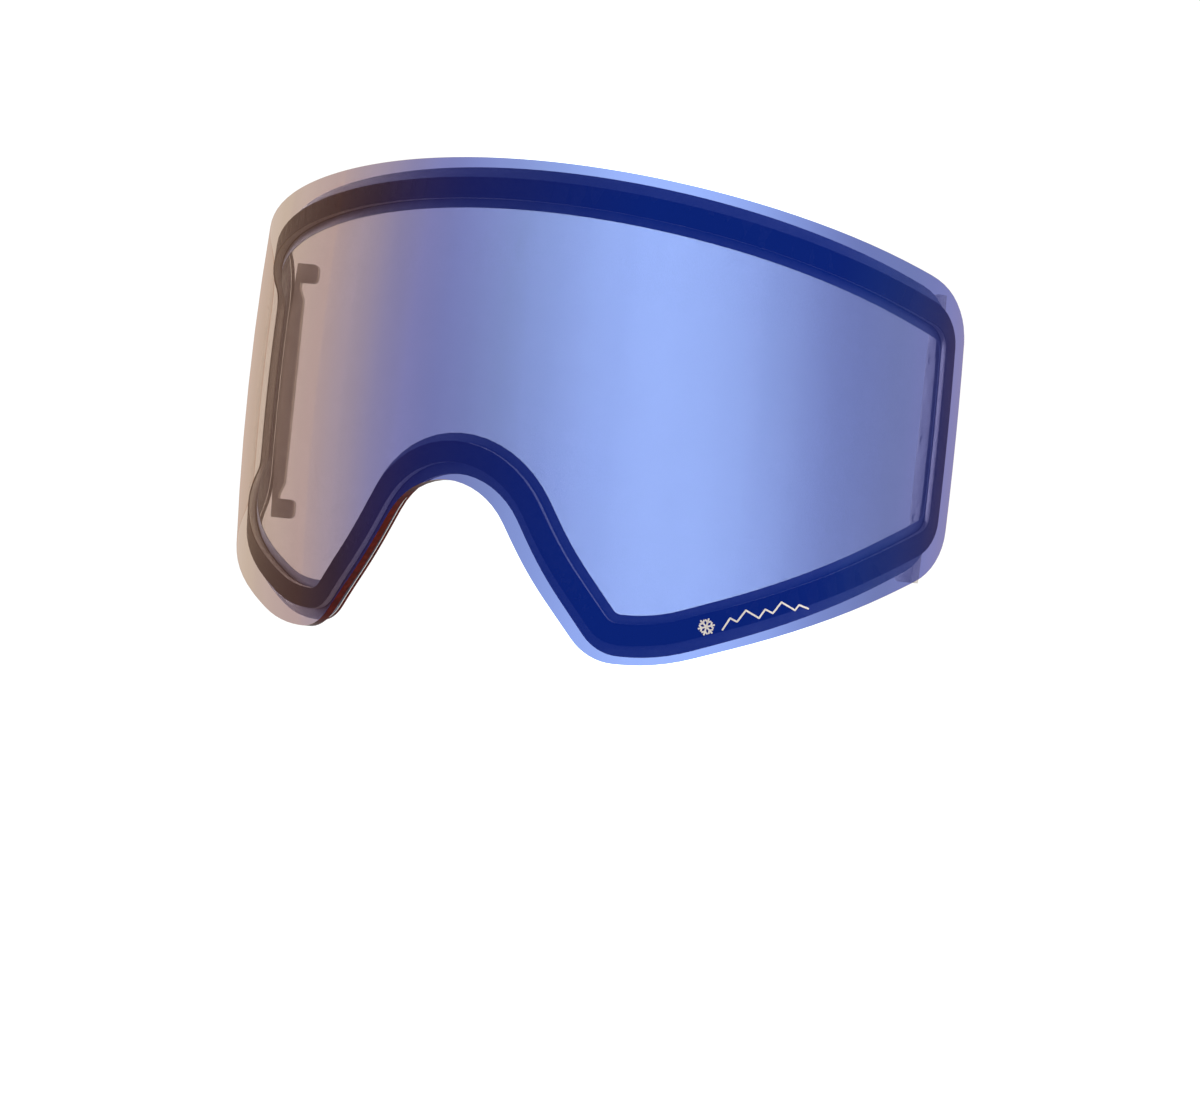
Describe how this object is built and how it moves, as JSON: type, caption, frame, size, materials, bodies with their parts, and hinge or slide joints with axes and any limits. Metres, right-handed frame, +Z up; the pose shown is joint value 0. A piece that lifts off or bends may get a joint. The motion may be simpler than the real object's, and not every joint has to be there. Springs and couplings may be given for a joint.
{
  "type": "snow goggle lens unit",
  "caption": "Wrapped frameless double lens for snow goggles: mirrored outer lens with nose arch, sealed foam spacer, inner lens, and temple rails with snap tabs.",
  "frame": {"origin": "centre of the lens unit's bounding box", "axes": "+X to the wearer's left, +Y from the front of the lens to the face, +Z up along the lens's height"},
  "size_m": [0.1764, 0.0538, 0.0992],
  "materials": {
    "mirror_lens": "tinted polycarbonate with a blue mirror coating on the front",
    "sealing_film": "grey polyester sealing film, satin, finely embossed",
    "tape": "black acrylic foam tape",
    "foam": "closed-cell mid grey foam, cut edge",
    "inner_lens": "clear cellulose propionate with an anti-fog coating",
    "rail_tape": "grey acrylic tape",
    "rail": "injection-moulded mid grey nylon, fine texture"
  },
  "bodies": {
    "root": {"outer_lens": "mirror_lens", "sealing_film": "sealing_film", "front_tape": "tape", "foam_spacer": "foam", "rear_tape": "tape", "inner_lens": "inner_lens", "left_rail_tape": "rail_tape", "right_rail_tape": "rail_tape", "left_temple_rail": "rail", "right_temple_rail": "rail"}
  },
  "joints": []
}
